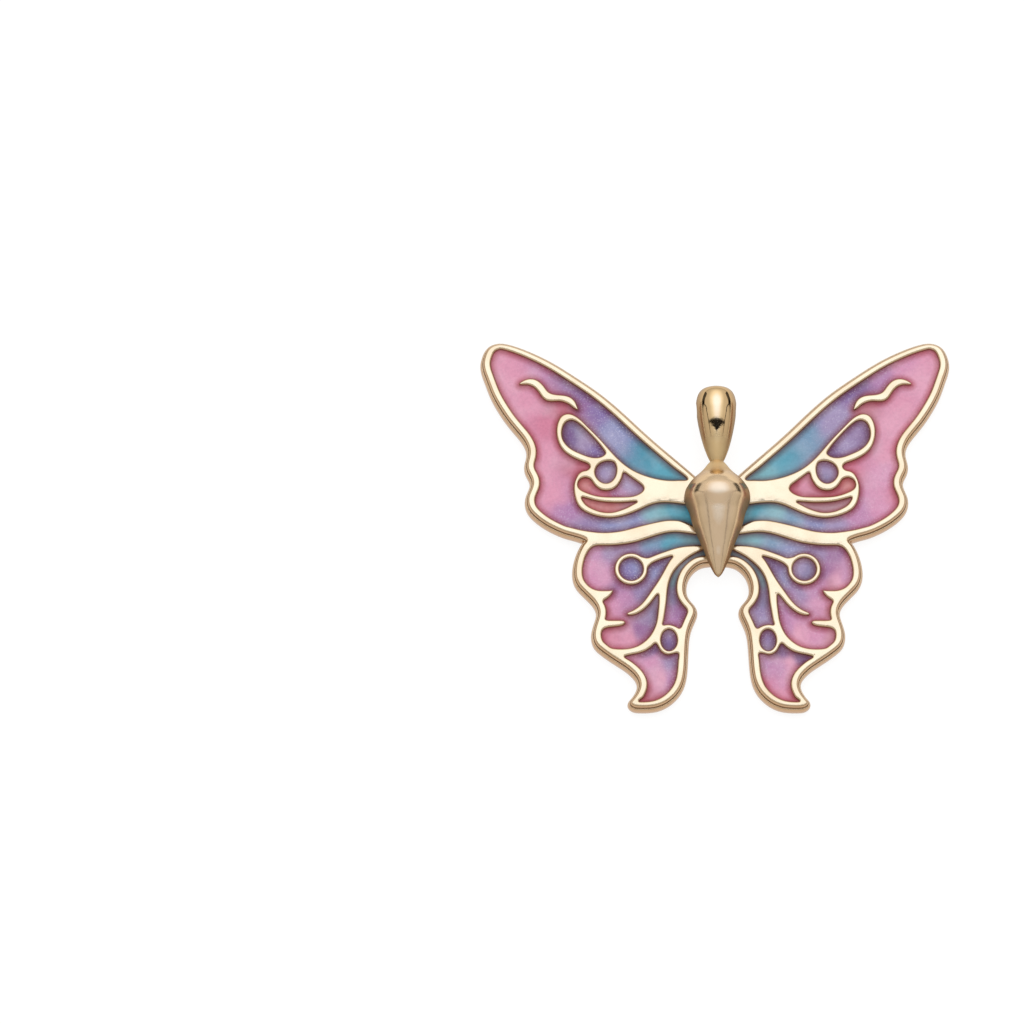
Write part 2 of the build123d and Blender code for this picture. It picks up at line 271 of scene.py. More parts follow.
def inside(points, loops):
    """Which points lie inside an odd number of the loops."""
    odd = np.zeros(len(points), bool)
    for loop in loops:
        after = np.roll(loop, -1, 0)
        for (x1, y1), (x2, y2) in zip(loop, after):
            if y1 == y2:
                continue
            crosses = (y1 > points[:, 1]) != (y2 > points[:, 1])
            odd ^= crosses & (points[:, 0] < x1 + (points[:, 1] - y1) * (x2 - x1) / (y2 - y1))
    return odd


def even_grid(loops, step):
    """Evenly spread points inside an odd number of the loops, clear of their edges."""
    edges = np.vstack(loops)
    tree = tree_of(edges)
    low, high = edges.min(0), edges.max(0)
    columns = np.arange(low[0], high[0], step)
    rows = np.arange(low[1], high[1], step * GRID_ROW_SHARE)
    grid = np.array([(x + number % 2 * step / 2, y) for number, y in enumerate(rows) for x in columns])
    grid = grid[inside(grid, loops)]
    gaps = np.array([gap_to(tree, point) for point in grid])
    return grid[gaps > GRID_CLEAR_SHARE * step]


# Mesh making


class MeshMaker:
    """Gathers points with named values, and faces, for one mesh."""

    def __init__(self):
        self.points, self.faces = [], []
        self.values = {}

    def add(self, points, **values):
        """Add points and return their numbers."""
        start = len(self.points)
        self.points.extend(map(tuple, points))
        for name, value in values.items():
            stored = self.values.setdefault(name, [])
            stored.extend([0.0] * (start - len(stored)))
            stored.extend(np.broadcast_to(value, len(points)).tolist())
        return np.arange(start, start + len(points))

    def band(self, upper, lower):
        """Join two rings of the same length, the upper one on the left of its run."""
        for here, there, under, beyond in zip(upper, np.roll(upper, -1), lower, np.roll(lower, -1)):
            self.faces.append((here, under, beyond, there))

    def bands(self, rings):
        """Join each ring to the next, as an upper and a lower one."""
        for upper, lower in zip(rings, rings[1:]):
            self.band(upper, lower)

    def fill(self, rings, extra=(), upwards=True):
        """Fill the space inside an odd number of flat rings, through the extra points."""
        indices = np.concatenate([*rings, np.array(extra, int)])
        flat = np.array([self.points[index][:2] for index in indices])
        edges, outlines = [], []
        start = 0
        for ring in rings:
            numbers = np.arange(start, start + len(ring))
            edges.extend(zip(numbers.tolist(), np.roll(numbers, -1).tolist()))
            outlines.append(flat[numbers])
            start += len(ring)
        made = geometry.delaunay_2d_cdt([Vector(point) for point in flat], edges, [], 0, MERGE_GAP)
        made_flat, made_faces, sources = np.array(made[0]), made[2], made[3]
        middles = np.array([made_flat[list(face)].mean(0) for face in made_faces])
        for face, keep in zip(made_faces, inside(middles, outlines)):
            if not keep or not all(sources[corner] for corner in face):
                continue
            corners = [indices[sources[corner][0]] for corner in face]
            self.faces.append(corners if upwards else corners[::-1])

    def build(self, name):
        """Smoothly shaded mesh object in metres."""
        mesh = bpy.data.meshes.new(name)
        mesh.from_pydata([tuple(MM * value for value in point) for point in self.points], [], self.faces)
        for value_name, stored in self.values.items():
            stored.extend([0.0] * (len(self.points) - len(stored)))
            layer = mesh.attributes.new(value_name, "FLOAT", "POINT")
            layer.data.foreach_set("value", np.array(stored, np.float32))
        mesh.polygons.foreach_set("use_smooth", [True] * len(mesh.polygons))
        mesh.validate()
        piece = bpy.data.objects.new(name, mesh)
        bpy.context.scene.collection.objects.link(piece)
        return piece


def level_ring(flat, height):
    """Flat points lifted to one height."""
    return np.column_stack((flat, np.full(len(flat), height)))


def rounding(first=0):
    """Shares of a quarter turn at a rounding's steps, each with its sine and cosine."""
    for step in range(first, ROUND_STEPS + 1):
        turn = step / ROUND_STEPS
        angle = turn * math.pi / 2
        yield turn, math.sin(angle), math.cos(angle)


# Wing plate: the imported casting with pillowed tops, a beaded rim and rounded lips


def add_pockets(maker, outline, pockets):
    """Add each pocket's lip, wall and floor, and return the rings where the lips start."""
    tops, floors = [], []
    for number, loop in enumerate(pockets):
        normals = left_normals(loop)
        others = [outline, *pockets[:number], *pockets[number + 1:]]
        widths = free_widths(loop, normals, LIP_WIDE, others)
        rings = []
        for turn, sine, cosine in rounding():
            flat = loop + normals * (widths * (1 - sine))[:, None]
            lip = level_ring(flat, EDGE_TOP - LIP_DROP * (1 - cosine))
            # The lips are painted darker towards the wall, and the walls and floors fully: painted shade,
            # stored as pocket
            rings.append(maker.add(lip, pocket=LIP_SHADE * turn**2))
        for height in (ENAMEL_TOP, POCKET_FLOOR):
            rings.append(maker.add(level_ring(loop, height), pocket=1.0))
        maker.bands(rings)
        tops.append(rings[0])
        floors.append(maker.add(level_ring(loop, POCKET_FLOOR), pocket=1.0))
    maker.fill(floors)
    return tops


def rim_steps():
    """Places outside the outline, heights and painted shade of the rim's rings, from its top to its back."""
    for start, end, top, bottom, dark in RIM_ARCS:
        for _, sine, cosine in rounding():
            yield start + (end - start) * sine, bottom + (top - bottom) * cosine, dark
    for _, sine, cosine in rounding(first=1):
        yield RIM_SWELL - (RIM_SWELL + RIM_UNDER) * (1 - cosine), RIM_WIDEST_HEIGHT * (1 - sine), 0.0


def add_rim(maker, outline, pockets):
    """Add the rim and the flat back, and return the ring where the rim starts."""
    normals = left_normals(outline)
    inner = free_widths(outline, normals, RIM_IN, pockets) / RIM_IN
    swell = free_widths(outline, -normals, RIM_SWELL) / RIM_SWELL
    rings = []
    for outset, height, dark in rim_steps():
        reach = outset * (swell if outset > 0 else inner)
        # The rim's darkness is painted shade, stored as pocket
        rings.append(maker.add(level_ring(outline - normals * reach[:, None], height), pocket=dark))
    maker.bands(rings)
    maker.fill([rings[-1]], upwards=False)
    return rings[0]


def add_crown(maker, rings):
    """Fill the casting's top between its edge rings, softly pillowed."""
    flats = [np.array([maker.points[index][:2] for index in ring]) for ring in rings]
    numbers = maker.add(level_ring(even_grid(flats, CROWN_STEP), PLATE_TOP))
    first_face = len(maker.faces)
    maker.fill(rings, numbers)
    corners = np.array(maker.faces[first_face:])
    starts = np.concatenate((corners, np.roll(corners, -1, 1))).ravel()
    ends = np.concatenate((np.roll(corners, -1, 1), corners)).ravel()
    shares = np.bincount(starts, minlength=len(maker.points)).clip(1)
    stiffness = 4 * (PILLOW_REACH / CROWN_STEP) ** 2
    rise = np.zeros(len(maker.points))
    for _ in range(PILLOW_ROUNDS):
        around = np.bincount(starts, rise[ends], minlength=len(rise)) / shares
        rise[numbers] = (stiffness * around[numbers] + 1) / (stiffness + 1)
    for index in numbers:
        x, y, _ = maker.points[index]
        maker.points[index] = (x, y, PLATE_TOP - PILLOW_DROP * (1 - rise[index]))


def build_plate():
    """The wing plate, without the peg's hole that the body hides."""
    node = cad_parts["wing_plate"]
    outline = smooth_loop(max(level_loops(node, 0.0), key=len))
    if signed_area(outline) < 0:
        outline = outline[::-1]
    top_loops = level_loops(node, PLATE_TOP)
    widest = max(range(len(top_loops)), key=lambda index: abs(signed_area(top_loops[index])))
    pockets = []
    for index, loop in enumerate(top_loops):
        if index != widest and np.abs(loop[:, 0]).max() > PEG_HOLE_REACH:
            pockets.append(smooth_loop(loop))
    maker = MeshMaker()
    lips = add_pockets(maker, outline, pockets)
    edge = add_rim(maker, outline, pockets)
    add_crown(maker, [edge, *lips])
    plate = maker.build("gilt_wing_plate")
    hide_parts("wing_plate")
    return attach(plate, "root")


# Body and bail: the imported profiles, turned more finely

# Profiles as shares of the radius and of the length, from the body's tip to its neck and from there up
BODY_PROFILE = (
    (0.005, 0.0), (0.09, 0.02), (0.17, 0.056), (0.26, 0.11), (0.34, 0.16), (0.44, 0.24), (0.58, 0.33),
    (0.71, 0.42), (0.81, 0.513), (0.86, 0.563), (0.93, 0.609), (0.99, 0.655), (1.0, 0.69), (0.965, 0.746),
    (0.885, 0.786), (0.79, 0.824), (0.68, 0.856), (0.545, 0.889), (0.40, 0.932), (0.29, 0.972), (0.2, 1.0),
)
BAIL_PROFILE = (
    (0.325, 0.0), (0.40, 0.04), (0.549, 0.137), (0.668, 0.235), (0.765, 0.333), (0.845, 0.43), (0.914, 0.528),
    (0.966, 0.626), (1.0, 0.724), (0.978, 0.82), (0.868, 0.915), (0.70, 0.965), (0.43, 0.991), (0.005, 1.0),
)


def round_axis(reach, along, height):
    """Points, or normals, in a ring round the turned pieces' axis."""
    turns = np.arange(TURN_STEPS) / TURN_STEPS * 2 * math.pi
    places = np.full(TURN_STEPS, along)
    return np.column_stack((reach * np.sin(turns), places, height + reach * np.cos(turns)))


def turned_piece(name, profile, start, length, radius, lowest=0.0):
    """Mesh object turned from a profile, cut flat at its lowest height, and the normals of its points."""
    path = smooth_path(np.array(profile) * (radius, length) + (0.0, start))
    run = np.gradient(path, axis=0)
    leans = np.column_stack((run[:, 1], -run[:, 0])) / np.linalg.norm(run, axis=1)[:, None]
    maker = MeshMaker()
    rings, normals = [], []
    for (reach, along), (outwards, forwards) in zip(path, leans):
        points = round_axis(reach, along, AXIS_HEIGHT)
        shades = round_axis(outwards, forwards, 0.0)
        sunk = points[:, 2] < lowest
        points[sunk, 2] = lowest
        shades[sunk] = (0.0, 0.0, -1.0)
        rings.append(maker.add(points))
        normals.extend(map(tuple, shades))
    for lower, upper in zip(rings, rings[1:]):
        maker.band(upper, lower)
    maker.faces.append(rings[0].tolist())
    maker.faces.append(rings[-1][::-1].tolist())
    return maker.build(name), normals


def cut_bore(piece):
    """Cut the bail's bore, sideways under its widest line."""
    turns = np.arange(BORE_STEPS) / BORE_STEPS * 2 * math.pi
    along = BORE_PLACE + BORE_RADIUS * np.cos(turns)
    heights = BORE_HEIGHT + BORE_RADIUS * np.sin(turns)
    cutter = MeshMaker()
    left = cutter.add(np.column_stack((np.full(BORE_STEPS, -BORE_REACH), along, heights)))
    right = cutter.add(np.column_stack((np.full(BORE_STEPS, BORE_REACH), along, heights)))
    cutter.band(left, right)
    cutter.faces.append(left[::-1].tolist())
    cutter.faces.append(right.tolist())
    tool = cutter.build("bore_cutter")
    cut = piece.modifiers.new("bore", "BOOLEAN")
    cut.operation = "DIFFERENCE"
    cut.object = tool
    evaluated = piece.evaluated_get(bpy.context.evaluated_depsgraph_get())
    whole = piece.data
    piece.data = bpy.data.meshes.new_from_object(evaluated)
    piece.data.name = whole.name
    piece.modifiers.clear()
    piece.data.set_sharp_from_angle(angle=SHARP_ANGLE)
    bpy.data.objects.remove(tool)
    bpy.data.meshes.remove(whole)


def build_body():
    """The body, flat where it stands on the plate and shaded by its own profile."""
    body, normals = turned_piece("gilt_body", BODY_PROFILE, BODY_TIP, BODY_LENGTH, BODY_RADIUS, PLATE_TOP)
    body.data.normals_split_custom_set_from_vertices(normals)
    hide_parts("body")
    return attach(body, "root")


def build_bail():
    """The bail with its bore."""
    bail, _ = turned_piece("gilt_bail", BAIL_PROFILE, BODY_TIP + BODY_LENGTH, BAIL_LENGTH, BAIL_RADIUS)
    cut_bore(bail)
    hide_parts("bail")
    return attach(bail, "root")


# Enamel: each fill sags between its walls and carries its own tints

TINT_COLOURS = {
    "deep_teal": "#3C88A6", "teal": "#4FA0BC", "pale_teal": "#74AEC0", "sea": "#6C9CAE", "slate": "#5E8898",
    "steel": "#7096BA", "periwinkle": "#858CBE", "iris": "#7868A8", "deep_violet": "#745E96",
    "night_violet": "#6E4E88", "indigo": "#687EB6", "dusk": "#7E78A2", "lilac": "#9A8EBA",
    "heather": "#8C7AAA", "plum": "#8E6498", "mauve": "#A87CB0", "orchid": "#B684B2",
    "pink_lilac": "#C88EB6", "pink": "#D092B2", "shell": "#D49EBC", "rose": "#C67C9C",
    "dusty_rose": "#BE849E", "deep_rose": "#B87088", "coral": "#C88C92", "pearl_mauve": "#B49AAE",
}

# Tints of each fill, at shares of the half span out from the axis and of the wings' height from their middle
TINTS = {
    "right_forewing_field": (
        (0.13, 0.04, "sea"), (0.17, 0.045, "teal"), (0.25, 0.035, "pale_teal"), (0.33, 0.02, "steel"),
        (0.42, 0.005, "periwinkle"), (0.50, 0.0, "lilac"), (0.60, 0.03, "orchid"),
        (0.70, 0.06, "pink_lilac"), (0.77, 0.08, "rose"), (0.72, 0.13, "pink_lilac"),
        (0.75, 0.20, "pink"), (0.57, 0.16, "rose"), (0.80, 0.33, "pink"), (0.75, 0.28, "shell"),
        (0.65, 0.325, "deep_rose"), (0.88, 0.40, "shell"), (0.92, 0.47, "pink"),
        (0.80, 0.45, "pink_lilac"), (0.70, 0.42, "mauve"), (0.62, 0.39, "deep_violet"),
        (0.55, 0.36, "iris"), (0.50, 0.30, "lilac"), (0.45, 0.32, "periwinkle"), (0.37, 0.24, "steel"),
        (0.33, 0.25, "deep_teal"), (0.25, 0.19, "teal"), (0.20, 0.15, "pale_teal"),
        (0.26, 0.22, "deep_teal"),
    ),
    "left_forewing_field": (
        (0.13, 0.045, "teal"), (0.17, 0.045, "teal"), (0.25, 0.035, "pale_teal"),
        (0.35, 0.02, "periwinkle"), (0.45, 0.0, "periwinkle"), (0.55, 0.0, "heather"),
        (0.62, 0.05, "mauve"), (0.70, 0.08, "pink"), (0.75, 0.15, "pink"), (0.74, 0.21, "pink"),
        (0.57, 0.16, "deep_rose"), (0.72, 0.27, "rose"), (0.80, 0.33, "pink"), (0.66, 0.315, "deep_rose"),
        (0.58, 0.33, "plum"), (0.85, 0.40, "pink"), (0.90, 0.47, "pink"), (0.72, 0.44, "orchid"),
        (0.62, 0.41, "heather"), (0.55, 0.37, "iris"), (0.48, 0.33, "iris"), (0.42, 0.25, "periwinkle"),
        (0.38, 0.27, "indigo"), (0.30, 0.20, "deep_teal"), (0.22, 0.16, "teal"), (0.25, 0.21, "teal"),
    ),
    "right_forewing_teardrop": (
        (0.50, 0.20, "deep_violet"), (0.56, 0.225, "lilac"), (0.60, 0.26, "heather"),
        (0.64, 0.25, "night_violet"),
    ),
    "left_forewing_teardrop": (
        (0.50, 0.20, "iris"), (0.56, 0.225, "heather"), (0.60, 0.26, "dusk"),
        (0.64, 0.25, "night_violet"),
    ),
    "right_forewing_drop": ((0.45, 0.16, "heather"), (0.48, 0.14, "lilac"), (0.47, 0.12, "dusk")),
    "left_forewing_drop": ((0.45, 0.16, "dusk"), (0.48, 0.14, "lilac"), (0.47, 0.12, "deep_violet")),
    "right_forewing_crescent": (
        (0.33, 0.10, "deep_rose"), (0.37, 0.11, "pink"), (0.40, 0.09, "dusty_rose"),
        (0.50, 0.085, "deep_rose"), (0.57, 0.115, "coral"),
    ),
    "left_forewing_crescent": (
        (0.33, 0.10, "heather"), (0.37, 0.12, "lilac"), (0.42, 0.09, "mauve"), (0.50, 0.085, "rose"),
        (0.57, 0.115, "coral"),
    ),
    "right_forewing_lens": (
        (0.38, 0.057, "pearl_mauve"), (0.46, 0.047, "pearl_mauve"), (0.54, 0.06, "pearl_mauve"),
    ),
    "left_forewing_lens": ((0.38, 0.057, "pearl_mauve"), (0.46, 0.047, "coral"), (0.54, 0.06, "coral")),
    "right_hindwing_field": (
        (0.15, -0.04, "pale_teal"), (0.25, -0.05, "steel"), (0.33, -0.06, "periwinkle"),
        (0.42, -0.075, "heather"), (0.50, -0.08, "plum"), (0.56, -0.12, "orchid"), (0.53, -0.15, "shell"),
        (0.50, -0.17, "dusty_rose"), (0.45, -0.14, "plum"), (0.40, -0.18, "orchid"),
        (0.44, -0.21, "pink_lilac"), (0.49, -0.23, "dusty_rose"), (0.25, -0.10, "deep_violet"),
        (0.30, -0.14, "periwinkle"), (0.35, -0.19, "heather"), (0.27, -0.23, "mauve"),
        (0.30, -0.27, "orchid"), (0.35, -0.30, "shell"), (0.42, -0.31, "pink_lilac"),
        (0.48, -0.31, "dusty_rose"),
    ),
    "left_hindwing_field": (
        (0.10, -0.04, "sea"), (0.20, -0.04, "teal"), (0.28, -0.05, "steel"), (0.36, -0.06, "heather"),
        (0.45, -0.07, "heather"), (0.52, -0.08, "orchid"), (0.55, -0.12, "pink_lilac"),
        (0.50, -0.15, "pink_lilac"), (0.45, -0.17, "plum"), (0.25, -0.09, "deep_violet"),
        (0.28, -0.13, "periwinkle"), (0.33, -0.18, "heather"), (0.40, -0.20, "orchid"),
        (0.45, -0.22, "pink_lilac"), (0.48, -0.24, "dusty_rose"), (0.27, -0.20, "dusk"),
        (0.28, -0.25, "dusk"), (0.33, -0.285, "plum"), (0.38, -0.31, "pink"), (0.46, -0.31, "rose"),
    ),
    "right_hindwing_ring": ((0.35, -0.115, "lilac"), (0.39, -0.13, "dusk")),
    "left_hindwing_ring": ((0.35, -0.115, "periwinkle"), (0.39, -0.13, "iris")),
    "right_hindwing_inner_band": (
        (0.10, -0.07, "slate"), (0.17, -0.11, "slate"), (0.20, -0.15, "sea"), (0.20, -0.19, "dusk"),
        (0.17, -0.24, "heather"), (0.20, -0.26, "lilac"),
    ),
    "left_hindwing_inner_band": (
        (0.10, -0.07, "slate"), (0.17, -0.11, "sea"), (0.20, -0.15, "sea"), (0.20, -0.19, "dusk"),
        (0.17, -0.24, "plum"), (0.20, -0.26, "mauve"),
    ),
    "right_hindwing_oval": ((0.20, -0.305, "heather"), (0.22, -0.33, "deep_violet")),
    "left_hindwing_oval": ((0.20, -0.305, "heather"), (0.22, -0.33, "deep_violet")),
    "right_hindwing_tail": (
        (0.27, -0.345, "night_violet"), (0.36, -0.36, "night_violet"), (0.30, -0.385, "shell"),
        (0.24, -0.40, "orchid"), (0.28, -0.43, "pink_lilac"), (0.26, -0.47, "pink"),
        (0.33, -0.48, "deep_rose"), (0.17, -0.38, "mauve"), (0.18, -0.43, "rose"),
    ),
    "left_hindwing_tail": (
        (0.27, -0.345, "deep_violet"), (0.20, -0.38, "heather"), (0.30, -0.38, "pink_lilac"),
        (0.26, -0.42, "shell"), (0.20, -0.43, "mauve"), (0.27, -0.47, "dusty_rose"),
        (0.33, -0.49, "deep_rose"),
    ),
}

# The clear top coat takes a little blue out of every tint
GLAZE_WARMTH = (1.05, 0.97, 0.90)

# Tints are blended by a power of their squared distance, softened close by, and stirred by layers of noise
TINT_SOFTNESS = 0.12
TINT_POWER = 1.6
STIR_REACH = 0.45
STIR_SCALE = 0.9
STIR_LAYERS = (3.0, 7.0)


def linear_colour(code):
    """Linear colour of a hexadecimal screen colour."""
    screen = np.array([int(code[start:start + 2], 16) for start in (1, 3, 5)]) / 255
    return np.where(screen <= 0.04045, screen / 12.92, ((screen + 0.055) / 1.055) ** 2.4)


def wing_place(across, up):
    """Place of a pair of wing shares."""
    spread = 1 + TIP_SPREAD * up
    return np.array((across * HALF_SPAN, up * WING_HEIGHT)) * spread


def stir(x, y):
    """How far a place is stirred, across and up."""
    return [STIR_REACH * noise.noise((x * STIR_SCALE, y * STIR_SCALE, layer)) for layer in STIR_LAYERS]


def tint_points(name, flat):
    """Colour at each flat point of a fill, blended between its listed tints and stirred a little."""
    side = -1.0 if name.startswith("left") else 1.0
    spots = np.array([wing_place(across, up) for across, up, _ in TINTS[name]])
    colours = np.array([linear_colour(TINT_COLOURS[tint]) for _, _, tint in TINTS[name]]) * GLAZE_WARMTH
    stirred = flat * (side, 1.0) + np.array([stir(x, y) for x, y in flat])
    distances = np.linalg.norm(stirred[:, None, :] - spots[None, :, :], axis=2)
    weights = 1 / (distances**2 + TINT_SOFTNESS) ** TINT_POWER
    weights /= weights.sum(1)[:, None]
    return weights @ colours


def enamel_height(distances):
    """Height of the enamel at a distance from its wall."""
    share = np.clip(1 - distances / MENISCUS_REACH, 0, 1)
    return ENAMEL_TOP + MENISCUS_RISE * share**2 - ENAMEL_SAG


def build_enamel(name):
    """One fill, with the distance from its walls and its tints stored on its points."""
    node = f"{name}_enamel"
    loops = [smooth_loop(loop) for loop in level_loops(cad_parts[node], ENAMEL_TOP)]
    tree = tree_of(np.vstack(loops))
    rows = []
    for loop in loops:
        normals = left_normals(loop)
        for width, every in WALL_ROWS:
            row = loop + normals * free_widths(loop, normals, width)[:, None]
            rows.append(row[::every])
    inner = np.vstack([*rows, even_grid(loops, FILL_STEP)])
    inner = inner[inside(inner, loops)]
    gaps = np.array([gap_to(tree, point) for point in inner])
    swell = np.array([noise.noise((x * SWELL_SCALE, y * SWELL_SCALE, SWELL_LAYER)) for x, y in inner])
    surface = np.column_stack((inner, enamel_height(gaps) + SWELL_HEIGHT * swell))

    maker = MeshMaker()
    rings = [maker.add(level_ring(loop, enamel_height(0.0)), wall=0.0) for loop in loops]
    lower_rings = [maker.add(level_ring(loop, POCKET_FLOOR), wall=0.0) for loop in loops]
    numbers = maker.add(surface, wall=np.clip(gaps / WALL_REACH, 0, 1))
    maker.fill(rings, numbers)
    for upper, lower in zip(rings, lower_rings):
        maker.band(upper, lower)
    maker.fill(lower_rings, upwards=False)
    piece = maker.build(f"{name}_glaze")

    flat = np.array(maker.points)[:, :2]
    colours = np.column_stack((tint_points(name, flat), np.ones(len(flat))))
    tints = piece.data.color_attributes.new("tint", "FLOAT_COLOR", "POINT")
    tints.data.foreach_set("color", colours.astype(np.float32).ravel())
    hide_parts(node)
    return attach(piece, "root")


# Materials

# Gold tones by how level a face is, from upright (0) to level (1): painted light and shade, with level faces
# painted pale as a painted highlight and upright sides painted darker as painted shade
PLATE_LIGHT_SHADE_TONES = (
    (0.0, "#C09C7C"), (0.6, "#C8A582"), (0.88, "#D6B892"), (0.96, "#E8D2B2"), (0.99, "#F4E6CE"),
)
BODY_LIGHT_SHADE_TONES = (
    (0.0, "#9A7A58"), (0.5, "#BE9C74"), (0.75, "#E4C69E"), (0.93, "#EACDAA"), (0.985, "#FAEAD6"),
)
BAIL_LIGHT_SHADE_TONES = (
    (0.0, "#92744E"), (0.5, "#B4946A"), (0.8, "#D2B284"), (0.93, "#E0C090"), (0.97, "#ECD0A2"),
    (0.995, "#F8E8D2"),
)
# Painted shade in the pockets, at the lips and in the rim's groove
POCKET_SHADE_TONE = "#7A5230"
GOLD_CLOUD_TONE = "#C29A68"
NECK_PAINTED_LIGHT_TONE = "#F2D8A4"

# Round spots of the gold: a neck painted paler, a painted light against the shade under the bail, and dull
# ones at the neck and on the crest.
# Each has its centre, the distances where it is whole and where it ends, and its strength or roughness.
PAINTED_LIGHT_SPOT = (NECK, 0.9, 2.0, 0.5)
DULL_SPOTS = ((NECK, 1.3, 2.2, 0.55), (CREST, 0.6, 1.4, 0.45))

# Enamel tones: rosy along the walls, where thicker enamel deepens the colour and shade is painted, brown at
# the walls, pearly clouds, shady grain and bright flakes
ROSY_SHADE_TONE = "#C4706C"
BROWN_TONE = "#84483A"
PEARL_TONE = "#EADCE4"
GRAIN_TONE = "#6B5478"
FLAKE_TONE = "#F1ECF6"
ENAMEL_ROUGHNESS = 0.38
ENAMEL_SHINE = 0.35

# How many of each texture's marks fit in a metre
GOLD_CLOUDS = 500.0
GOLD_WAVES = 1300.0
GOLD_POLISH = 9000.0
ENAMEL_CLOUDS = 600.0
ENAMEL_GRAIN = 6000.0
ENAMEL_FLAKES = 22000.0

# Bumps: the depths of the gold's waves, its polish and the enamel's grain, and the strengths of the last two
WAVE_DEPTH = 0.03
POLISH_DEPTH = 0.02
GRAIN_DEPTH = 0.03
POLISH_STRENGTH = 0.05
GRAIN_STRENGTH = 0.08

# The paper's grey in the light, and how brightly it shows itself
PAPER_GREY = 0.18
PAPER_ROUGHNESS = 0.9
PAPER_GLOW = 0.86

WHITE = (1.0, 1.0, 1.0, 1.0)


class Nodes:
    """A node tree with short ways to add and join nodes."""

    def __init__(self, tree):
        self.tree = tree

    def node(self, kind, inputs=None, **settings):
        """Add a node with settings, and with values or links for its inputs."""
        made = self.tree.nodes.new(kind)
        for key, value in settings.items():
            setattr(made, key, value)
        for key, value in (inputs or {}).items():
            self.put(made.inputs[key], value)
        return made

    def put(self, socket, value):
        """Give a socket a value, or link an output to it."""
        if isinstance(value, bpy.types.NodeSocket):
            self.tree.links.new(value, socket)
        else:
            socket.default_value = value

    def mix(self, share, first, second, blend="MIX"):
        """Mix of two colours."""
        inputs = {0: share, 6: first, 7: second}
        return self.node("ShaderNodeMix", inputs, data_type="RGBA", blend_type=blend).outputs[2]

    def ramp(self, value, stops):
        """Colour ramp through stops, each of a place and a hexadecimal screen colour."""
        made = self.node("ShaderNodeValToRGB", {0: value})
        elements = made.color_ramp.elements
        while len(elements) < len(stops):
            elements.new(0.5)
        for element, (place, code) in zip(elements, stops):
            element.position = place
            element.color = rgba(code)
        return made.outputs[0]

    def span(self, value, low, high, to_low, to_high, interpolation="LINEAR"):
        """A value between low and high, brought between two others."""
        inputs = {0: value, 1: low, 2: high, 3: to_low, 4: to_high}
        return self.node("ShaderNodeMapRange", inputs, interpolation_type=interpolation).outputs[0]

    def math(self, operation, first, second=0.0):
        """Sum, product or other operation on one or two values."""
        return self.node("ShaderNodeMath", {0: first, 1: second}, operation=operation).outputs[0]

    def times(self, first, second):
        """Product of two values."""
        return self.math("MULTIPLY", first, second)

    def parts(self, vector):
        """The three parts of a vector."""
        return self.node("ShaderNodeSeparateXYZ", {0: vector}).outputs

    def between(self, operation, first, second):
        """Distance or dot product of two vectors."""
        made = self.node("ShaderNodeVectorMath", {0: first, 1: second}, operation=operation)
        return made.outputs["Value"]


class Shader(Nodes):
    """A new material and its node tree."""

    def __init__(self, name):
        self.material = bpy.data.materials.new(name)
        self.material.use_nodes = True
        super().__init__(self.material.node_tree)

    def surface(self, inputs):
        """Give the surface values or links for its inputs, and return the material."""
        sockets = self.tree.nodes["Principled BSDF"].inputs
        for name, value in inputs.items():
            self.put(sockets[name], value)
        return self.material

    def stored(self, name, output):
        """A value or colour stored on the mesh's points."""
        return self.node("ShaderNodeAttribute", attribute_name=name).outputs[output]

    def cloud(self, place, scale, detail):
        """Soft noise at a place."""
        inputs = {"Vector": place, "Scale": scale, "Detail": detail}
        return self.node("ShaderNodeTexNoise", inputs).outputs[0]

    def spot(self, place, centre, whole, end, strength):
        """Strength of a round spot, whole up to one distance from its centre and gone at another."""
        away = self.between("DISTANCE", place, Vector(centre) * MM)
        return self.span(away, whole * MM, end * MM, strength, 0.0)

    def bump(self, height, strength, depth, **below):
        """Normal bumped by a height, over the normal below it if there is one."""
        inputs = {"Height": height, "Strength": strength, "Distance": depth * MM, **below}
        return self.node("ShaderNodeBump", inputs).outputs[0]


def rgba(code):
    """Linear colour with full cover, from a hexadecimal screen colour."""
    return (*linear_colour(code), 1.0)


def gold_material(name, tones, waviness, polish, dull_sides):
    """Clouded gold of given tones, which paint a highlight on level faces and shade on upright ones, with
    painted shade in the hollows and painted light at the neck, and a polish as wavy and rough as given and
    duller upright sides.
    """
    shader = Shader(name)
    coordinates = shader.node("ShaderNodeTexCoord").outputs
    place = coordinates["Object"]
    level = shader.math("ABSOLUTE", shader.parts(coordinates["Normal"])[2])
    fine = shader.cloud(place, GOLD_POLISH, 3.0)

    # Painted shade in the pockets, at the lips and in the rim's groove
    painted_pocket_shade = shader.span(shader.stored("pocket", "Fac"), 0.0, 0.8, 0.0, 0.85)
    clouded = shader.span(shader.cloud(place, GOLD_CLOUDS, 4.0), 0.42, 0.75, 0.0, 0.26)
    # Painted highlight and painted shade: the face is paler the more level it is
    tone = shader.ramp(level, tones)
    tone = shader.mix(painted_pocket_shade, tone, rgba(POCKET_SHADE_TONE))
    tone = shader.mix(clouded, tone, rgba(GOLD_CLOUD_TONE))
    # Painted light at the neck, against the shade under the bail
    tone = shader.mix(shader.spot(place, *PAINTED_LIGHT_SPOT), tone, rgba(NECK_PAINTED_LIGHT_TONE))

    roughness = shader.span(fine, 0.3, 0.7, *polish)
    roughness = shader.math("MAXIMUM", roughness, shader.span(level, 0.3, 0.8, dull_sides, 0.0))
    for spot in DULL_SPOTS:
        roughness = shader.math("MAXIMUM", roughness, shader.spot(place, *spot))

    wavy = shader.bump(shader.cloud(place, GOLD_WAVES, 2.0), waviness, WAVE_DEPTH)
    polished = shader.bump(fine, POLISH_STRENGTH, POLISH_DEPTH, Normal=wavy)
    return shader.surface({"Base Color": tone, "Metallic": 1.0, "Roughness": roughness, "Normal": polished})


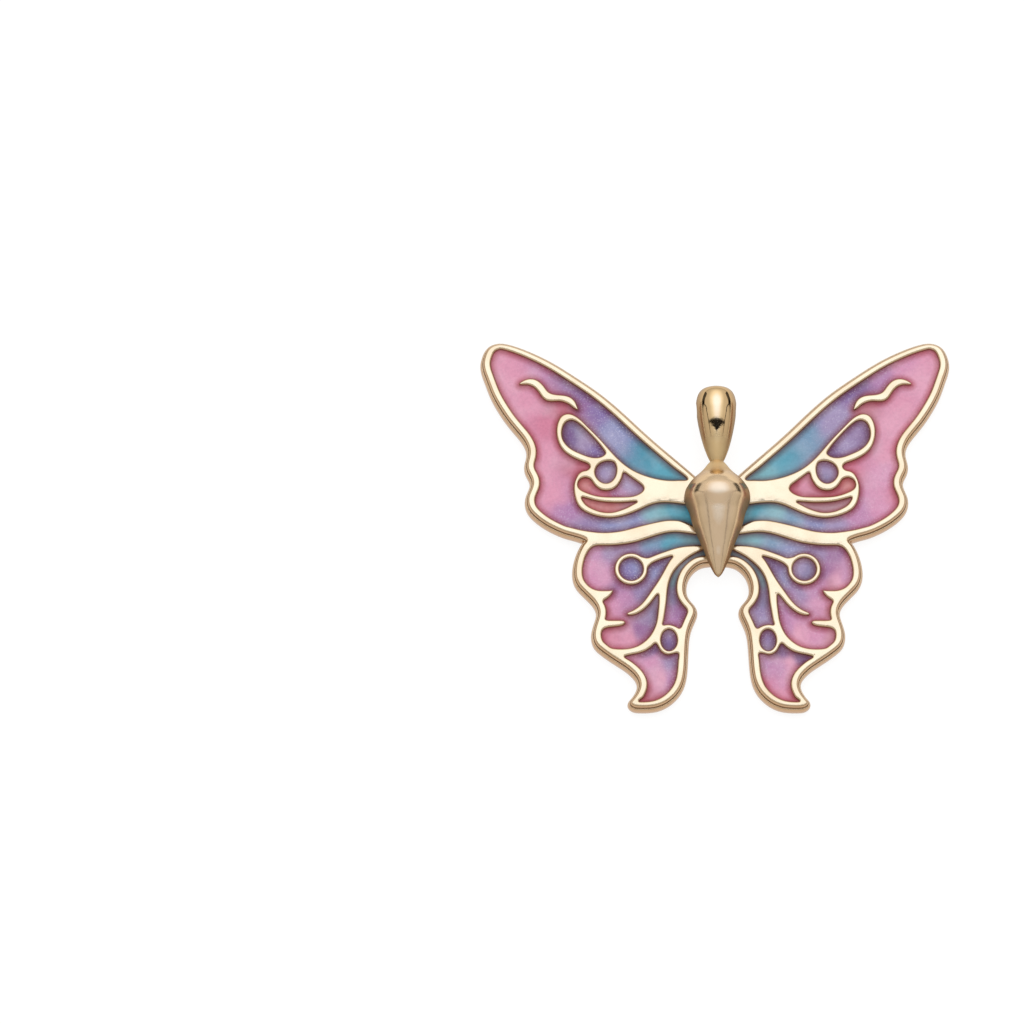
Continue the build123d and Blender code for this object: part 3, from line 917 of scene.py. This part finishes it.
def enamel_material():
    """Pearly enamel: its own tints, cloudy inside, rosy by the walls with painted shade, brown at the walls,
    glitter in its violets.
    """
    shader = Shader("pearl_enamel")
    place = shader.node("ShaderNodeTexCoord").outputs["Object"]
    tint = shader.stored("tint", "Color")
    wall = shader.stored("wall", "Fac")
    grain = shader.cloud(place, ENAMEL_GRAIN, 2.0)

    # Rosier and darker towards the walls: the deeper colour of thicker enamel, and painted shade
    rosy = shader.span(wall, 0.0, 0.9, 0.9, 0.0)
    browned = shader.span(wall, 0.0, 0.2, 0.5, 0.0)
    clouded = shader.span(shader.cloud(place, ENAMEL_CLOUDS, 2.0), 0.45, 0.75, 0.0, 0.16)
    shady = shader.span(grain, 0.35, 0.6, 0.10, 0.0)
    _, green, blue = shader.node("ShaderNodeSeparateColor", {0: tint}).outputs
    violet = shader.span(shader.math("SUBTRACT", blue, green), 0.10, 0.20, 0.0, 0.3)
    flakes = shader.node("ShaderNodeTexVoronoi", {"Vector": place, "Scale": ENAMEL_FLAKES}).outputs["Color"]
    glitter = shader.times(shader.span(shader.parts(flakes)[0], 0.84, 1.0, 0.0, 1.0), violet)

    colour = shader.mix(rosy, tint, rgba(ROSY_SHADE_TONE), "MULTIPLY")
    colour = shader.mix(clouded, colour, rgba(PEARL_TONE))
    colour = shader.mix(shady, colour, rgba(GRAIN_TONE), "MULTIPLY")
    colour = shader.mix(glitter, colour, rgba(FLAKE_TONE))
    colour = shader.mix(browned, colour, rgba(BROWN_TONE))
    return shader.surface({
        "Base Color": colour,
        "Roughness": ENAMEL_ROUGHNESS,
        "Specular IOR Level": ENAMEL_SHINE,
        "Normal": shader.bump(grain, GRAIN_STRENGTH, GRAIN_DEPTH),
    })


def paper_material():
    """White paper under the pendant, which stays white beside it and keeps its soft shadow."""
    shader = Shader("white_paper")
    rays = shader.node("ShaderNodeLightPath").outputs
    seen = shader.math("MAXIMUM", rays["Is Camera Ray"], rays["Is Glossy Ray"])
    seen = shader.math("MAXIMUM", seen, rays["Is Transmission Ray"])
    return shader.surface({
        "Base Color": (PAPER_GREY, PAPER_GREY, PAPER_GREY, 1.0),
        "Roughness": PAPER_ROUGHNESS,
        "Specular IOR Level": 0.0,
        "Emission Color": WHITE,
        "Emission Strength": shader.span(seen, 0.0, 1.0, 0.0, PAPER_GLOW),
    })


def dress(piece, material):
    """Give a piece its one material."""
    piece.data.materials.clear()
    piece.data.materials.append(material)


# Stage: paper in a light tent

PAPER_HALF = 1500.0
PAPER_DROP = 0.02
LAMP_SIZE = 600.0
LAMP_ENERGY = 1.2
LAMP_PLACE = (0.0, 100.0, 500.0)

# The tent is laid out by parts of a direction: across to either side, along towards the wings' tips, and up.
# Its cloth glows round its brightest direction and is dimmer past the seams, in front and near the paper.
BRIGHTEST = (0.0, 0.48, 0.877)
GLOW_TOWARDS = (0.70, 0.96)
GLOW_LEVEL = 0.40
CLOTH_LEVEL = 0.84
SIDE_LEVEL = 0.82
FRONT_ALONG = (-0.25, 0.1)
FRONT_SHARE = 0.82
PAPER_UP = (0.05, 0.25)
PAPER_SHARE = 0.75

# A dark seam on each side, which spreads towards the back
SEAM_ACROSS = (0.66, 0.93)
SEAM_ALONG = (-0.2, 0.25)
SEAM_SOFTNESS = 0.01
SEAM_EDGE = (0.008, 0.03)
SEAM_SHARE = 0.1

# A dark slit overhead, which comes to a point in front
SLIT_ALONG = (-0.13, -0.02)
SLIT_ACROSS = 0.85
SLIT_SIDE_SOFTNESS = 0.06
SLIT_BACK_SOFTNESS = 0.03
SLIT_UP = (0.3, 0.4)
SLIT_SHARE = 0.02

# Dark corners at the back, near the paper
CORNER_ACROSS = (0.6, 0.7)
CORNER_UP = (0.3, 0.45)
CORNER_EDGE = (1.1, 1.2)
CORNER_SHARE = 0.15

# A dim opening in front
OPENING_ALONG = (-0.9, -0.84)
OPENING_ACROSS = (0.3, 0.4)
OPENING_SHARE = 0.7


def build_paper():
    """Sheet of white paper just under the pendant."""
    half, height = PAPER_HALF * MM, -PAPER_DROP * MM
    corners = [(x * half, y * half, height) for x, y in ((-1, -1), (1, -1), (1, 1), (-1, 1))]
    mesh = bpy.data.meshes.new("paper")
    mesh.from_pydata(corners, [], [(0, 1, 2, 3)])
    made = bpy.data.objects.new("paper", mesh)
    bpy.context.scene.collection.objects.link(made)
    dress(made, paper_material())


def build_lamp():
    """Soft lamp overhead, which doesn't show in the gold."""
    light = bpy.data.lights.new("fill", "AREA")
    light.size = LAMP_SIZE * MM
    light.energy = LAMP_ENERGY
    lamp = bpy.data.objects.new("fill", light)
    bpy.context.scene.collection.objects.link(lamp)
    lamp.location = Vector(LAMP_PLACE) * MM
    lamp.visible_glossy = False


def slit_share(tent, across, along, up):
    """Share of the light that the slit leaves in a direction."""
    back = SLIT_ALONG[1]
    width = tent.span(along, *SLIT_ALONG, 0.0, SLIT_ACROSS)
    slit = tent.span(tent.math("SUBTRACT", width, across), 0.0, SLIT_SIDE_SOFTNESS, 0.0, 1.0)
    slit = tent.times(slit, tent.span(along, back, back + SLIT_BACK_SOFTNESS, 1.0, 0.0))
    slit = tent.times(slit, tent.span(up, *SLIT_UP, 0.0, 1.0))
    return tent.span(slit, 0.0, 1.0, 1.0, SLIT_SHARE)


def corner_share(tent, across, along, up):
    """Share of the light that the dark corners leave in a direction."""
    corner = tent.times(tent.math("ADD", across, along), tent.span(across, *CORNER_ACROSS, 0.0, 1.0))
    corner = tent.times(corner, tent.span(up, *CORNER_UP, 1.0, 0.0))
    return tent.span(corner, *CORNER_EDGE, 1.0, CORNER_SHARE)


def opening_share(tent, across, along):
    """Share of the light that the opening in front leaves in a direction."""
    opening = tent.span(along, *OPENING_ALONG, 1.0, 0.0)
    opening = tent.times(opening, tent.span(across, *OPENING_ACROSS, 1.0, 0.0))
    return tent.span(opening, 0.0, 1.0, 1.0, OPENING_SHARE)


def build_tent():
    """Soft white tent, brightest overhead behind the wings, with seams, a slit, corners and an opening."""
    world = bpy.data.worlds.new("tent")
    bpy.context.scene.world = world
    world.use_nodes = True
    tent = Nodes(world.node_tree)
    direction = tent.node("ShaderNodeTexCoord").outputs["Generated"]
    across, along, up = tent.parts(direction)
    across = tent.math("ABSOLUTE", across)
    towards = tent.between("DOT_PRODUCT", direction, BRIGHTEST)
    glow = tent.span(towards, *GLOW_TOWARDS, 0.0, GLOW_LEVEL, "SMOOTHSTEP")
    past_seam = tent.math("SUBTRACT", across, tent.span(along, *SEAM_ALONG, *SEAM_ACROSS))
    cloth = tent.span(past_seam, -SEAM_SOFTNESS, SEAM_SOFTNESS, CLOTH_LEVEL, SIDE_LEVEL)
    cloth = tent.times(cloth, tent.span(along, *FRONT_ALONG, FRONT_SHARE, 1.0))
    level = tent.math("ADD", cloth, glow)
    shares = (
        tent.span(tent.math("ABSOLUTE", past_seam), *SEAM_EDGE, SEAM_SHARE, 1.0),
        slit_share(tent, across, along, up),
        corner_share(tent, across, along, up),
        opening_share(tent, across, along),
        tent.span(up, *PAPER_UP, PAPER_SHARE, 1.0),
    )
    for share in shares:
        level = tent.times(level, share)
    background = tent.tree.nodes["Background"].inputs
    tent.put(background["Color"], WHITE)
    tent.put(background["Strength"], level)


# Camera at the photograph's angle, aimed past the pendant's left at the middle of the frame

CAMERA_TILT = math.radians(17.5)
CAMERA_DISTANCE = 338.0
CAMERA_TARGET = (-13.41, 0.83, PLATE_TOP)
CAMERA_NEAREST = 10.0
SENSOR_WIDTH = 36.0
FOCAL_LENGTH = 181.7


def build_camera():
    """Camera tilted towards the front from straight above."""
    lens = bpy.data.cameras.new("camera")
    lens.sensor_width = SENSOR_WIDTH
    lens.lens = FOCAL_LENGTH
    lens.clip_start = CAMERA_NEAREST * MM
    camera = bpy.data.objects.new("camera", lens)
    bpy.context.scene.collection.objects.link(camera)
    back = Vector((0.0, -math.sin(CAMERA_TILT), math.cos(CAMERA_TILT)))
    place = (Vector(CAMERA_TARGET) + back * CAMERA_DISTANCE) * MM
    camera.matrix_world = Matrix.Translation(place) @ back.to_track_quat("Z", "Y").to_matrix().to_4x4()
    bpy.context.scene.camera = camera


cast_gold = gold_material("gold_plate", PLATE_LIGHT_SHADE_TONES, waviness=0.12, polish=(0.12, 0.22), dull_sides=0.22)
body_gold = gold_material("gold_body", BODY_LIGHT_SHADE_TONES, waviness=0.0, polish=(0.16, 0.20), dull_sides=0.6)
bail_gold = gold_material("gold_bail", BAIL_LIGHT_SHADE_TONES, waviness=0.0, polish=(0.03, 0.06), dull_sides=0.5)
enamel = enamel_material()
dress(build_plate(), cast_gold)
dress(build_body(), body_gold)
dress(build_bail(), bail_gold)
for cell in TINTS:
    dress(build_enamel(cell), enamel)
build_paper()
build_tent()
build_lamp()
build_camera()
bpy.context.scene.view_settings.view_transform = "Standard"
